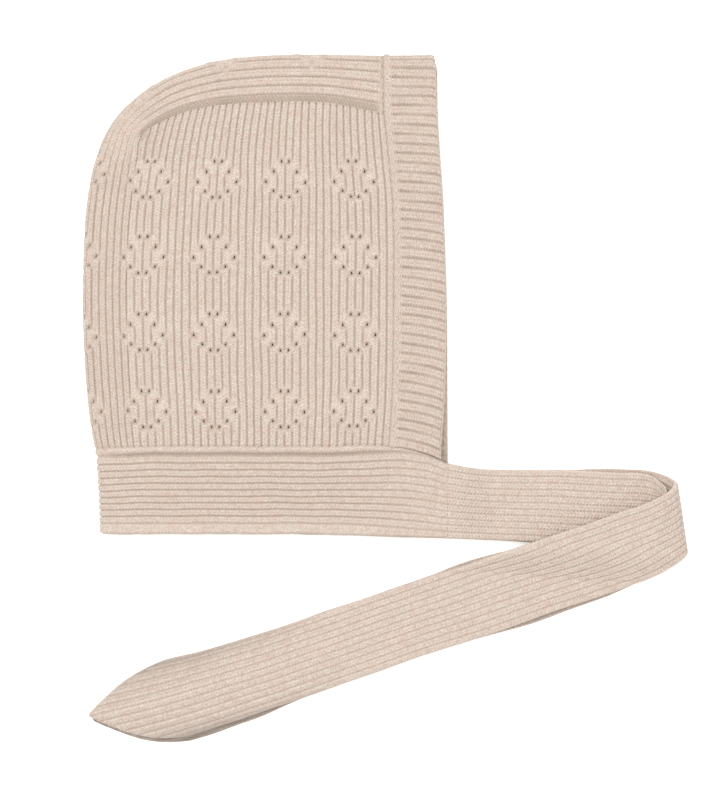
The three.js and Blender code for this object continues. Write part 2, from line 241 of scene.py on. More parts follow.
def backIndexes(count, first):  # the back of the cloth keeps every second line of the front
    return np.array([0] + [i for i in range(first or 2, count, 2) if i < count] + [count])


# A piece of knit: the front skin with its relief, a coarser back skin, closed rims, real eyelets.
def knitCloth(name, shape, relief, ribs, stitches, thick, eyelets=(), perRib=8,
              eyeSize=(3.1, 1.32), rounded=None, chevron=0.55):
    ribCount, stitchCount = round((ribs[1] - ribs[0]) * perRib), round((stitches[1] - stitches[0]) * 2)
    rib, stitch = np.meshgrid(ribs[0] + np.arange(ribCount + 1) / perRib,
                              stitches[0] + np.arange(stitchCount + 1) / 2)
    off = np.abs(rib - np.floor(rib) - 0.5)
    toEnd = np.minimum(stitch - stitches[0], stitches[1] - stitch)
    tilted = stitch - chevron * (off - 0.25) * np.clip(toEnd / 2, 0, 1)
    movedRib, movedStitch = closedUp(eyelets, rib, tilted, eyeSize)
    point = shape(movedRib, movedStitch)
    step = 0.03
    acrossRibs = shape(movedRib + step, movedStitch) - shape(movedRib - step, movedStitch)
    alongRibs = shape(movedRib, movedStitch + step) - shape(movedRib, movedStitch - step)
    normal = np.cross(acrossRibs, alongRibs)
    normal /= np.maximum(np.linalg.norm(normal, axis=-1, keepdims=True), 1e-9)
    height, paintedShading = relief(rib, stitch)
    # each eyelet sinks into a dimple with painted shade at its bottom; the strand beside it rises and keeps
    # less painted valley shade
    for eyeRib, eyeStitch, lean in eyelets:
        part = (np.abs(rib - eyeRib) < 1.2) & (np.abs(stitch - eyeStitch) < 3)
        dx = (movedRib[part] - eyeRib) * eyeSize[0]
        dy = (movedStitch[part] - eyeStitch) * eyeSize[1]
        along, across = dy * 0.78 + dx * 0.62 * lean, dx * 0.78 * lean - dy * 0.62
        r = np.hypot(along / eyelet["length"], across)
        strand = np.exp(-((across - 1.25) / 0.42) ** 2 - (along / 1.7) ** 4)
        sunk = np.exp(-(r / eyelet["dimple"]) ** 2)
        height[part] += 0.2 * strand - eyelet["depth"] * sunk
        paintedShading[part] = np.maximum(paintedShading[part] * (1 - 0.8 * strand), eyelet["paintedShadeLevel"] * sunk)
    drawnIn = rounded(rib, stitch) if rounded else np.zeros_like(rib)
    front = point + normal * (height - drawnIn)[..., None]
    backHeight = 0.35 * np.cos(2 * math.pi * rib)
    back = point - normal * (thick - 0.35 + backHeight - drawnIn)[..., None]

    odd = 1 if len(eyelets) else 0
    backRibs, backStitches = backIndexes(ribCount, odd), backIndexes(stitchCount, odd)
    wide = ribCount + 1
    frontIndex = np.arange((stitchCount + 1) * wide).reshape(stitchCount + 1, wide)
    backIndex = frontIndex.size + np.arange(len(backStitches) * len(backRibs)).reshape(
        len(backStitches), len(backRibs))
    keepFront = np.ones((stitchCount, ribCount), bool)
    keepBack = np.ones((len(backStitches) - 1, len(backRibs) - 1), bool)
    holes = []
    for eyeRib, eyeStitch, lean in eyelets:
        i = round((eyeRib - ribs[0]) * perRib)
        j = round((eyeStitch - stitches[0]) * 2)
        keepFront[j - 1:j + 1, i - 1:i + 1] = False
        a, b = np.searchsorted(backRibs, i - 1), np.searchsorted(backStitches, j - 1)
        keepBack[b, a] = False
        holes.append((i, j, a, b))
    f, k = frontIndex, backIndex
    quads = np.concatenate([
        np.stack([f[:-1, :-1], f[:-1, 1:], f[1:, 1:], f[1:, :-1]], -1)[keepFront],
        np.stack([k[:-1, :-1], k[1:, :-1], k[1:, 1:], k[:-1, 1:]], -1)[keepBack],
    ])
    triangles = []

    def joinEdge(chain, a, b):  # from a run of front points to one edge of the back
        half = (len(chain) - 1) // 2
        for n in range(len(chain) - 1):
            triangles.append((chain[n + 1], chain[n], a if n < half else b))
        triangles.append((chain[half], a, b))

    for n in range(len(backRibs) - 1):
        i0, i1 = backRibs[n], backRibs[n + 1]
        joinEdge(f[0, i0:i1 + 1], k[0, n], k[0, n + 1])
        joinEdge(f[-1, i0:i1 + 1][::-1], k[-1, n + 1], k[-1, n])
    for n in range(len(backStitches) - 1):
        j0, j1 = backStitches[n], backStitches[n + 1]
        joinEdge(f[j0:j1 + 1, -1], k[n, -1], k[n + 1, -1])
        joinEdge(f[j0:j1 + 1, 0][::-1], k[n + 1, 0], k[n, 0])
    for i, j, a, b in holes:
        joinEdge(f[j - 1:j + 2, i - 1], k[b, a], k[b + 1, a])
        joinEdge(f[j + 1, i - 1:i + 2], k[b + 1, a], k[b + 1, a + 1])
        joinEdge(f[j - 1:j + 2, i + 1][::-1], k[b + 1, a + 1], k[b, a + 1])
        joinEdge(f[j - 1, i - 1:i + 2][::-1], k[b, a + 1], k[b, a])
    picked = np.ix_(backStitches, backRibs)
    points = np.concatenate([front.reshape(-1, 3), back[picked].reshape(-1, 3)])
    places = np.concatenate([np.stack([rib, stitch], -1).reshape(-1, 2),
                             np.stack([rib[picked], stitch[picked]], -1).reshape(-1, 2)])
    # the back skin gets an even painted shade of 0.35
    paintedShadings = np.concatenate([paintedShading.ravel(), np.full(picked[0].size * picked[1].size, 0.35)])
    return clothObject(name, points, places, paintedShadings, quads, np.array(triangles))


def clothObject(name, points, places, paintedShadings, quads, triangles):
    used = np.unique(np.concatenate([quads.ravel(), triangles.ravel()]))
    renumber = np.zeros(len(points), int)
    renumber[used] = np.arange(len(used))
    mesh = bpy.data.meshes.new(name)
    mesh.from_pydata(((points[used] + origin) / 1000).tolist(), [],
                     renumber[quads].tolist() + renumber[triangles].tolist())
    corners = np.zeros(len(mesh.loops), int)
    mesh.loops.foreach_get("vertex_index", corners)
    knitMap = mesh.uv_layers.new(name="knit")
    knitMap.data.foreach_set("uv", places[used][corners].astype(np.float32).ravel())
    # per-point painted shading: painted shade in valleys, seams and eyelets where positive, a painted
    # highlight on legs and strands where negative
    shade = mesh.attributes.new("paintedShading", "FLOAT", "POINT")
    shade.data.foreach_set("value", np.clip(paintedShadings[used], -1, eyelet["paintedShadeLevel"]).astype(np.float32))
    mesh.polygons.foreach_set("use_smooth", np.ones(len(mesh.polygons), bool))
    mesh.update()
    piece = bpy.data.objects.new(name, mesh)
    bpy.context.scene.collection.objects.link(piece)
    print(name, "triangles", 2 * len(quads) + len(triangles))
    return piece


def linear(code):  # sRGB hex to linear
    parts = [int(code[i:i + 2], 16) / 255 for i in (1, 3, 5)]
    return tuple(c / 12.92 if c <= 0.04045 else ((c + 0.055) / 1.055) ** 2.4 for c in parts) + (1,)


def addNode(tree, kind, settings=None, **links):  # a node with its settings, values and links
    node = tree.nodes.new(kind)
    for key, value in (settings or {}).items():
        setattr(node, key, value)
    for key, value in links.items():
        socket = node.inputs[int(key[1:])] if key[1:].isdigit() else node.inputs[key.replace("_", " ")]
        if isinstance(value, bpy.types.NodeSocket):
            tree.links.new(value, socket)
        else:
            socket.default_value = value
    return node


yarn = {
    "light": "#d5c8bc",      # lit legs of the stitches
    "dark": "#94806f",       # dark fibre flecks, and painted shade down in the valleys and eyelets
    "pink": "#cfa99c",       # the pinkish fibres of the melange
    "pale": "#e6ddd2",       # the undyed fibres, and the painted highlight on the legs and strands
    # share of the dark colour mixed in as painted shade in the valleys
    "valleyShadeShare": 0.46,
    "melangeShare": 0.22,
    "fleckSize": 0.6667,     # mm, the fibre flecks
    "blushSize": 2.381,      # mm, the pinkish stretches of yarn
    "patchSize": 6.25,       # mm, the paler patches
    "stitchRelief": 0.18,    # mm, the bump of single stitches
    "stitchBump": 0.8,
    "fuzz": 0.35,
    "fuzzTint": "#f6ece1",
}


# Melange yarn of wool and cotton, rib knitted: matt, with a soft pale bloom on turned-away edges,
# painted shade between the ribs and stitches, a painted highlight on the legs, flecked along the stitches.
def ribbedMelange(name, tint):
    material = bpy.data.materials.new(name)
    material.use_nodes = True
    tree = material.node_tree
    tree.nodes.clear()
    place = addNode(tree, "ShaderNodeUVMap", {"uv_map": "knit"}).outputs["UV"]
    axes = addNode(tree, "ShaderNodeSeparateXYZ", i0=place)
    share = addNode(tree, "ShaderNodeMath", {"operation": "FRACT"}, i0=axes.outputs["X"]).outputs[0]
    offset = addNode(tree, "ShaderNodeMath", {"operation": "SUBTRACT"}, i0=share, i1=0.5).outputs[0]
    off = addNode(tree, "ShaderNodeMath", {"operation": "ABSOLUTE"}, i0=offset).outputs[0]
    lean = addNode(tree, "ShaderNodeMath", {"operation": "MULTIPLY_ADD"}, i0=off, i1=0.9,
                   i2=axes.outputs["Y"]).outputs[0]
    turn = addNode(tree, "ShaderNodeMath", {"operation": "MULTIPLY"}, i0=lean, i1=2 * math.pi).outputs[0]
    wave = addNode(tree, "ShaderNodeMath", {"operation": "SINE"}, i0=turn).outputs[0]
    body = addNode(tree, "ShaderNodeTexCoord").outputs["Object"]
    flecks = addNode(tree, "ShaderNodeTexNoise", {"noise_dimensions": "3D"}, Vector=body,
                     Scale=1000 / yarn["fleckSize"], Detail=3.0, Roughness=0.65).outputs["Fac"]
    patches = addNode(tree, "ShaderNodeTexNoise", {"noise_dimensions": "3D"}, Vector=body,
                      Scale=1000 / yarn["patchSize"], Detail=2.0, Roughness=0.5).outputs["Fac"]
    paintedShading = addNode(tree, "ShaderNodeAttribute", {"attribute_name": "paintedShading"}).outputs["Fac"]
    fleckShare = addNode(tree, "ShaderNodeMapRange", {}, i0=flecks, i1=0.38, i2=0.66, i3=0.0,
                         i4=yarn["melangeShare"] * 2).outputs[0]
    blush = addNode(tree, "ShaderNodeTexNoise", {"noise_dimensions": "3D"}, Vector=body,
                    Scale=1000 / yarn["blushSize"], Detail=2.0, Roughness=0.5).outputs["Fac"]
    blushShare = addNode(tree, "ShaderNodeMapRange", {}, i0=blush, i1=0.45, i2=0.75, i3=0.0,
                         i4=0.4).outputs[0]
    patchShare = addNode(tree, "ShaderNodeMapRange", {}, i0=patches, i1=0.4, i2=0.7, i3=0.0,
                         i4=yarn["melangeShare"]).outputs[0]
    # paler undyed patches of the melange, plus a painted highlight where the shading is negative on legs and
    # strands, with fewer patches in the painted-shade valleys
    palePatchesAndHighlight = addNode(tree, "ShaderNodeMath", {"operation": "MULTIPLY_ADD", "use_clamp": True}, i0=paintedShading,
                  i1=-0.9, i2=patchShare).outputs[0]
    pale = addNode(tree, "ShaderNodeMix", {"data_type": "RGBA"}, i0=palePatchesAndHighlight, i6=linear(tint),
                   i7=linear(yarn["pale"])).outputs[2]
    flecked = addNode(tree, "ShaderNodeMix", {"data_type": "RGBA"}, i0=blushShare, i6=pale,
                      i7=linear(yarn["pink"])).outputs[2]
    flecked = addNode(tree, "ShaderNodeMix", {"data_type": "RGBA"}, i0=fleckShare, i6=flecked,
                      i7=linear(yarn["dark"])).outputs[2]
    # painted shade in the dips between stitches along each rib
    paintedStitchShade = addNode(tree, "ShaderNodeMapRange", {}, i0=wave, i1=-1.0, i2=-0.1, i3=0.06,
                         i4=0.0).outputs[0]
    # painted shade: valleys, seams and eyelets mixed towards the dark colour, together with the painted
    # shade between stitches
    paintedValleyShade = addNode(tree, "ShaderNodeMath", {"operation": "MULTIPLY", "use_clamp": True}, i0=paintedShading,
                   i1=yarn["valleyShadeShare"]).outputs[0]
    paintedShadeLevel = addNode(tree, "ShaderNodeMath", {"operation": "ADD", "use_clamp": True}, i0=paintedValleyShade,
                       i1=paintedStitchShade).outputs[0]
    colour = addNode(tree, "ShaderNodeMix", {"data_type": "RGBA"}, i0=paintedShadeLevel, i6=flecked,
                     i7=linear(yarn["dark"])).outputs[2]
    strands = addNode(tree, "ShaderNodeMath", {"operation": "MULTIPLY_ADD"}, i0=flecks, i1=4.0,
                      i2=wave).outputs[0]
    bump = addNode(tree, "ShaderNodeBump", {}, Strength=yarn["stitchBump"],
                   Distance=yarn["stitchRelief"] / 1000, Height=strands).outputs["Normal"]
    shader = addNode(tree, "ShaderNodeBsdfPrincipled", {}, Base_Color=colour, Roughness=0.92,
                     Normal=bump, Sheen_Weight=yarn["fuzz"], Sheen_Roughness=0.6)
    shader.inputs["Specular IOR Level"].default_value = 0.15
    shader.inputs["Sheen Tint"].default_value = linear(yarn["fuzzTint"])
    addNode(tree, "ShaderNodeOutputMaterial", {}, Surface=shader.outputs["BSDF"])
    return material


# one yarn throughout: the strip, band and tie copies are a touch darker, painted shade for how tighter rib
# looks a shade darker
ribMelange = ribbedMelange("ribbedMelange", yarn["light"])
stripMelangePaintedShade = ribbedMelange("stripMelangePaintedShade", "#d0c2b6")
bandMelangePaintedShade = ribbedMelange("bandMelangePaintedShade", "#d3c5b9")
tieMelangePaintedShade = ribbedMelange("tieMelangePaintedShade", "#d5c7bb")


def finish(piece, node, material, slotName, **facts):
    piece.data.materials.append(material)
    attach(piece, "root")
    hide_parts(node)


motif = {
    "eyes": [(0.5, 6), (1.5, 3), (2.5, 0), (1.5, -3), (0.5, -5)],  # ribs from the centre, stitches
    "heights": [(-5, -6.15), (-3, -3.8), (0, 0), (3, 4.3), (6, 8.6)],  # stitches, mm
    "rows": [11, 35, 59, 83],  # stitches above the neck band
    "columns": [9, 18, 27, 36],  # ribs
    "crownRows": [107, 131, 155],
}


def leafEyes(centre, row):
    return [(centre + side * rib, row + up, side) for rib, up in motif["eyes"] for side in (-1, 1)]


def courseHeights(rows, first, last):  # stitch counts to mm, with each leaf's own spacing
    table = [first] + [(row + up, at + mm) for row, at in rows for up, mm in motif["heights"]] + [last]
    return lambda stitch: np.interp(stitch, column(table, 0), column(table, 1)) + (
        np.minimum(stitch - first[0], 0) + np.maximum(stitch - last[0], 0)) * layout["stitchSize"]


side = {
    "knit": 3.0,
    "rows": [(11, 50.8), (35, 82.3), (59, 114), (83, 145.0)],  # leaf rows: stitches, height in mm
    "stitches": 108,
    "topHeight": 178.4,
    "valley": 1.2,
    "sharp": 5.0,
}
seamLine = stripPlan(np.linspace(crownCorner, foldLength - 24, 80),
                     stripWidthAt(np.linspace(crownCorner, foldLength - 24, 80)) - 0.4)
backLine = stripPlan(np.linspace(36, crownCorner, 80), stripWidthAt(np.linspace(36, crownCorner, 80)))
sideCourses = courseHeights(side["rows"], (0, 36.2), (side["stitches"], side["topHeight"]))


def backOfSide(y):
    return np.interp(y, backLine[1], backLine[0]) + np.maximum(y - backLine[1][-1], 0) * 0.3


def seamHeight(x):
    return np.interp(x, seamLine[0], seamLine[1])


def leafBow(rib, stitch, centres, rows):  # ribs bow out round each leaf and close in below it
    bow = np.zeros_like(rib)
    for centre in centres:
        near = rib - centre
        for row in rows:
            up = stitch - row
            bow += np.tanh(near / 1.5) * 0.3 * np.exp(-((np.abs(near) - 3.2) / 1.8) ** 2 - (up / 5) ** 2)
    return bow


def leafRelief(rib, stitch, centres, rows):  # how much of the valleys is left, and the strands
    kept, strand = np.ones_like(rib), np.zeros_like(rib)
    for centre in centres:
        for row in rows:
            beside, up = np.abs(rib - centre), stitch - row
            edge = np.interp(up, [-6.5, -5, -3, 0, 3, 6, 7.5], [0, 0.5, 1.5, 2.5, 1.5, 0.5, 0])
            ends = smooth((up + 7.5) / 2) * smooth((8.5 - up) / 2)
            kept = kept * (1 - 0.92 * ends * np.exp(-((beside - edge - 0.05) / 0.8) ** 2))
            low = smooth((1.5 - up) / 3)
            strand += ends * low * np.exp(-((beside - edge - 0.42) / 0.27) ** 2)
            strand += 0.6 * ends * (1 - low) * np.exp(-((beside - edge + 0.42) / 0.27) ** 2)
    return kept, np.clip(strand, 0, 1)


def sidePoint(rib, stitch):
    share = (np.abs(rib) - layout["stripRibs"]) / (layout["sideRibs"] - layout["stripRibs"])
    y = sideCourses(stitch)
    top = np.full_like(y, 177.0)
    for _ in range(3):
        top = seamHeight(lerp(backOfSide(top), faceSeamAt(top) + 0.1, share))
    lastLeaf = motif["rows"][-1] + 6
    rest = (stitch - lastLeaf) / (side["stitches"] - lastLeaf)
    leafTop = sideCourses(np.full_like(stitch, lastLeaf))
    y = np.where(rest > 0, lerp(leafTop, top, rest), y)
    back = lerp((backOfSide(y - 7) + backOfSide(y) + backOfSide(y + 7)) / 3, backOfSide(y) - 0.25,
                np.exp(-share * 20))
    x = lerp(back, faceSeamAt(y) + 0.1, share)
    y = y + (neckEdgeAt(x) - layout["neckTop"]) * (1 - smooth(stitch / 14))
    inside = smooth(share * 12) * smooth((1 - share) * 12)
    x = x + inside * (0.25 * wander(rib, stitch / 4, 2.0, 2.4)
                      + leafBow(np.abs(rib), stitch, motif["columns"], motif["rows"]))
    y = y + inside * 0.25 * wander(rib, stitch / 4, 5.0, 3.0)
    return x, y


def nearSide(rib, stitch):
    x, y = sidePoint(rib, stitch)
    inside = smooth((rib - 7) / 5) * smooth((41 - rib) / 4) * smooth(stitch / 10) * smooth(
        (side["stitches"] - stitch) / 10)
    z = topAt(depthOf(x, y), y, layout["hoodFold"]) + 0.35 * inside * wander(x, y, 1.0, 13.0)
    return np.stack([x, y, z], -1)


def farSide(rib, stitch):  # laid a little askew of the near side
    x, y = sidePoint(rib, stitch)
    askew = smooth((-rib - 7) / 1.2) * smooth((41 + rib) / 3)
    x, y = x + 1.1 * askew, y + 0.8 * askew * smooth(stitch / 6) * smooth((side["stitches"] - stitch) / 6)
    return np.stack([x, y, np.zeros_like(x)], -1)


def sideRelief(rib, stitch):
    kept, strand = leafRelief(np.abs(rib), stitch, motif["columns"], motif["rows"])
    height = ribHeight(rib, stitch, side["valley"] * kept, side["sharp"], 0.16, 0.05) + 0.4 * strand
    # painted shade in the rib valleys, less where the leaves flatten them, and a painted highlight on the
    # eyelet strands
    paintedShading = ribPaintedShading(rib) * kept * (1 - strand) - 0.6 * strand
    off = 2 * np.abs(rib - np.floor(rib) - 0.5)
    toTop = (side["stitches"] - stitch) * layout["stitchSize"]
    height -= 0.5 * smooth(1 - (toTop + 0.5 - off) / 1.0)
    toNeck = stitch * layout["stitchSize"]
    height -= 0.6 * smooth(1 - toNeck / 1.4)
    # painted shade along the neck seam
    paintedShading = np.maximum(paintedShading, 0.4 * smooth(1 - toNeck / 1.2))
    toFace = (layout["sideRibs"] - np.abs(rib)) * layout["ribSize"]
    height -= 0.6 * smooth(1 - toFace / 1.3)
    # painted shade along the face seam
    paintedShading = np.maximum(paintedShading, 0.5 * smooth(1 - toFace / 1.0))
    return height, paintedShading


sideEyes = [eye for centre in motif["columns"] for row in motif["rows"] for eye in leafEyes(centre, row)
            if eye[0] > layout["stripRibs"]]
nearPiece = knitCloth("near_side_knit", nearSide, sideRelief, (7, 41), (0, side["stitches"]),
                      side["knit"], sideEyes)
finish(nearPiece, "side_panel_near", ribMelange, "rib_knit", flat=(0.107, 0.143), held="laid",
       rests_on=["back_strip_knit", "far_side_knit"], area=0.0148)
farEyes = [(-rib, stitch, -lean) for rib, stitch, lean in sideEyes]
farPiece = knitCloth("far_side_knit", farSide, sideRelief, (-41, -7), (0, side["stitches"]),
                     side["knit"], farEyes)
finish(farPiece, "side_panel_far", ribMelange, "rib_knit", flat=(0.107, 0.143), held="laid",
       rests_on=["Floor"], area=0.0148)
print("side panels knitted")

strip = {
    "knit": 3.0,
    "rows": [(11, 51), (35, 81.5), (59, 115.2), (83, 150.0), (107, 188), (131, 226), (155, 262)],
    "stitches": 176,
    "valley": 1.1,
    "seamRibs": 0.85,  # width of the reverse-knit seam, in ribs
}
stripEnd = foldLength - (foldLine[-1][0] - faceSeamAt(197)) - 0.1
stripCourses = courseHeights(strip["rows"], (0, 36.0), (strip["stitches"], stripEnd))


def stripPoint(rib, stitch):
    along = stripCourses(stitch)
    middle = smooth((along - 165) / 40) * 1.0  # over the crown the fold lies one rib off centre
    arc = arcOf(stripWidthAt(along), layout["hoodFold"])
    ribs = layout["stripRibs"]
    s = np.where(rib > middle, (rib - middle) / (ribs - middle), (rib - middle) / (ribs + middle)) * arc
    level = onFold(along, foldPoints)[..., 1]
    depth, z = roundFold(s, layout["hoodFold"], level)
    x, y = stripPlan(along, depth)
    return np.stack([x, y, z], -1)


def stripRelief(rib, stitch):
    along = stripCourses(stitch)
    corner = np.exp(-((along - 174) / 16) ** 2)
    valley = strip["valley"] * (1 - 0.75 * corner)
    kept, strand = leafRelief(rib, stitch, (-9, 0, 9), motif["rows"])
    keptHigh, strandHigh = leafRelief(rib, stitch, (0,), motif["crownRows"])
    kept, strand = kept * keptHigh, np.maximum(strand, strandHigh)
    height = ribHeight(rib, stitch, valley * kept, 5.0, 0.14, 0.05) + 0.3 * strand
    # painted shade in the rib valleys, less round the crown corner, and a painted highlight on the eyelet
    # strands
    paintedShading = ribPaintedShading(rib) * (1 - 0.6 * corner) * kept * (1 - strand) - 0.6 * strand
    for row in motif["crownRows"]:  # the stretched crown holds these eyelets shut: shallow dents with painted shade
        for eyeRib, eyeStitch, _ in leafEyes(0, row):
            dent = np.exp(-((rib - eyeRib) / 0.24) ** 2 - ((stitch - eyeStitch) / 0.55) ** 2)
            height, paintedShading = height - 0.4 * dent, np.maximum(paintedShading, 0.75 * dent)
    seam = smooth((along - crownCorner + 3) / 5) * smooth(
        (np.abs(rib) - layout["stripRibs"] + strip["seamRibs"]) / 0.14)
    twill = np.cos(2 * math.pi * (stitch * 1.0 + (np.abs(rib) - 6.3) * 1.2))
    # the seam sinks in, with painted shade along it that follows the twill
    height = lerp(height, -0.8 + 0.4 * twill, seam)
    paintedShading = lerp(paintedShading, 0.95 - 0.35 * twill, seam)
    toNeck = stitch * layout["stitchSize"]
    height -= 0.6 * smooth(1 - toNeck / 1.4)
    # painted shade along the neck seam
    paintedShading = np.maximum(paintedShading, 0.4 * smooth(1 - toNeck / 1.2))
    height = np.maximum(height, -0.8 - 0.3 * smooth(toNeck))
    toFace = (strip["stitches"] - stitch) * layout["stitchSize"]
    # the end fades to a faint painted shade
    ending = smooth(1 - toFace / 2.6)
    height, paintedShading = lerp(height, -0.2, ending), lerp(paintedShading, 0.15, ending)
    return height, paintedShading


stripEyes = [eye for row in motif["rows"] for eye in leafEyes(0, row)]
stripEyes += [(lean * 6.5, row, -lean) for row in motif["rows"] for lean in (-1, 1)]
stripPiece = knitCloth("back_strip_knit", stripPoint, stripRelief, (-7, 7), (0, strip["stitches"]),
                       strip["knit"], stripEyes, eyeSize=(2.9, 1.4))
finish(stripPiece, "back_crown_strip", stripMelangePaintedShade, "rib_knit", flat=(0.042, 0.256), held="folded",
       rests_on=["Floor"], area=0.0098)
print("back strip knitted")

face = {
    "knit": 4.6,         # doubled
    "width": 22.4,       # from the seam to the free edge
    "stitches": 19.0,
    "ribs": 42,          # ribs on each side of the crown
    "stitch": 1.16,
    "valley": 1.3,
    "bead": 2.2,         # width of the chain of stitches along the seam, in mm
    "crown": 197.3,
}


def faceBandPoint(rib, stitch):
    width = face["crown"] - layout["neckTop"]
    arc = arcOf(width, layout["faceFold"])
    s = rib / face["ribs"] * arc
    depth, z = roundFold(s, layout["faceFold"], np.full_like(s, face["crown"]) - np.abs(s))
    share = stitch * face["stitch"] / face["width"]
    near = s > 0
    corner = np.maximum(0, share - 0.9) * 12
    edge0 = np.where(near, nearEdgeAt(36.0), farEdgeAt(36.0))
    low = neckEdgeAt(lerp(faceSeamAt(36.0), edge0, share)) + 0.06
    y = lerp(face["crown"] - corner, low, depth / width)
    y = y + 0.35 * wander(s, share * 9, 3.0, 9.0) * smooth(share * 3)
    edge = np.where(near, nearEdgeAt(y), farEdgeAt(y))
    x = lerp(faceSeamAt(y), edge, share)
    z = z + np.where(near, 0.25 * wander(x, y, 4.0, 15.0) * smooth(depth / 20), 0)
    return np.stack([x, y, z], -1)


def faceRelief(rib, stitch):
    mm = stitch * face["stitch"]
    begun = smooth((mm - face["bead"]) / 1.6)
    ended = smooth((face["width"] - mm) / 1.8)
    soft = 1 + 0.3 * wander(rib * 2, stitch / 3, 11.0, 1.7)
    height = ribHeight(rib, stitch, face["valley"] * begun * ended * soft, 3.4, 0.3, 0.06)
    # painted shade in the rib valleys, fading out at the seam bead and the free edge
    paintedShading = ribPaintedShading(rib, 3.6, 0.3) * begun * ended * np.clip(soft, 0.6, 1.2)
    chain = np.cos(2 * math.pi * rib * 2)
    bead = np.exp(-((mm - face["bead"] / 2) / 0.75) ** 2)
    height = height + bead * (0.3 + 0.15 * chain) - 0.5 * np.exp(-(mm / 0.5) ** 2)
    height = height - 0.2 * np.exp(-((mm - face["bead"] - 0.5) / 0.5) ** 2)
    # painted shade along the seam line and between the chain stitches of the bead
    paintedShading = np.maximum(paintedShading, 0.45 * np.exp(-(mm / 0.45) ** 2))
    paintedShading = np.maximum(paintedShading, bead * 0.22 * (1 - chain) * 0.5)
    return height, paintedShading


def faceRounded(rib, stitch):
    return roundedOff((face["stitches"] - stitch) * face["stitch"], face["knit"] / 2)


facePiece = knitCloth("face_band_knit", faceBandPoint, faceRelief, (-face["ribs"], face["ribs"]),
                      (-0.5, face["stitches"]), face["knit"], rounded=faceRounded)
finish(facePiece, "face_band", bandMelangePaintedShade, "band_knit", flat=(0.045, 0.33), held="folded",
       rests_on=["Floor"], area=0.0095)
print("face band knitted")

neck = {
    "knit": 2.8,
    "ribHeights": [(0, 0), (1, 4.6), (6, 18.5), (10, 29.8), (11, 33.4), (12.25, 37.3)],  # rib, mm
    "groove": 11,        # the groove under the rolled ridge, in ribs
    "blend": 42,         # mm over which the ridge gives way to the plain rib of the ties
    "tieTop": 11.0,      # top of the near tie where it leaves the band
    "stitch": 1.36,
    "valley": 0.95,
}
neckHeightOf = tableCurve(column(neck["ribHeights"], 0), column(neck["ribHeights"], 1))


def lowAt(x):  # lower edge of the neck band
    return lerp(0.8, -0.7, smooth((x - 85) / (layout["tieStart"] - 85)))


neckArc = arcOf(layout["tieStart"] - 0.3 - 6.5, layout["hoodFold"])
neckStitches = round(2 * neckArc / neck["stitch"])


def towardsTies(stitch, reach):  # 1 at the ties, 0 more than reach mm from them
    return smooth(1 - np.minimum(stitch, neckStitches - stitch) * neck["stitch"] / reach)


def neckBandPoint(rib, stitch):
    up = neckHeightOf(rib)
    plain = np.minimum(rib, neck["groove"]) / neck["groove"] * 0.985 + np.maximum(
        rib - neck["groove"], 0) / 1.25 * 0.015
    share = lerp(up / layout["neckTop"], plain, towardsTies(stitch, neck["blend"]))
    back = backAt(up)
    width = layout["tieStart"] - 0.1 - back
    s = arcOf(width, layout["hoodFold"]) * (1 - 2 * stitch / neckStitches)
    depth, z = roundFold(s, layout["hoodFold"], up)
    z = np.where(s > 0, lerp(z, neck["tieTop"], towardsTies(stitch, 36)), z)
    x = back + depth
    y = lerp(lowAt(x), neckEdgeAt(x), share)
    x = x + 0.5 * smooth((up - 31) / 3) * np.exp(-depth / 3)
    y = y - 0.2 * np.exp(-depth / 6) * smooth(share * 3) + 0.2 * wander(s, up, 6.0, 8.0)
    return np.stack([x, y, z], -1)


def neckRelief(rib, stitch):
    plain = towardsTies(stitch, neck["blend"])
    low = 1 - 0.6 * smooth((1.6 - rib) / 1.2) * (1 - plain)
    valley = lerp(neck["valley"], 0.5, plain) * low
    height = ribHeight(rib, stitch, valley, 5.0, 0.12, 0.05)
    # painted shade in the rib valleys, less towards the ties
    paintedShading = ribPaintedShading(rib) * low * lerp(1, 0.6, plain)
    over = rib - neck["groove"]
    atBack = np.exp(-((stitch - neckStitches / 2) * neck["stitch"] / 9) ** 2)
    groove = np.exp(-(over / 0.24) ** 2) * (1 - plain) * (1 - 0.8 * atBack)
    above = smooth((over + 0.1) / 0.2)
    ridge = 0.45 * np.exp(-((over - 0.68) / 0.34) ** 2) + 0.12 * np.cos(2 * math.pi * stitch) - 0.1
    height = lerp(height, ridge * (1 - plain), above) - 1.2 * groove
    # painted shade in the groove under the ridge, none on the ridge
    paintedShading = np.maximum(lerp(paintedShading, 0, above), groove)
    height = height - lerp(1.4, 0.5, plain) * smooth((over - 1.0) / 0.25)
    # painted shade along the band's top rim, where it meets the face band
    paintedShading = np.maximum(paintedShading, 0.7 * smooth((over - 0.95) / 0.25))
    return height, paintedShading


def neckRounded(rib, stitch):
    return roundedOff(neckHeightOf(rib), neck["knit"] / 2)


neckPiece = knitCloth("neck_band_knit", neckBandPoint, neckRelief, (0, 12.25), (0, neckStitches),
                      neck["knit"], rounded=neckRounded)
finish(neckPiece, "neck_band", bandMelangePaintedShade, "band_knit", flat=(0.037, 0.296), held="folded",
       rests_on=["Floor"], area=0.0108)
print("neck band knitted")

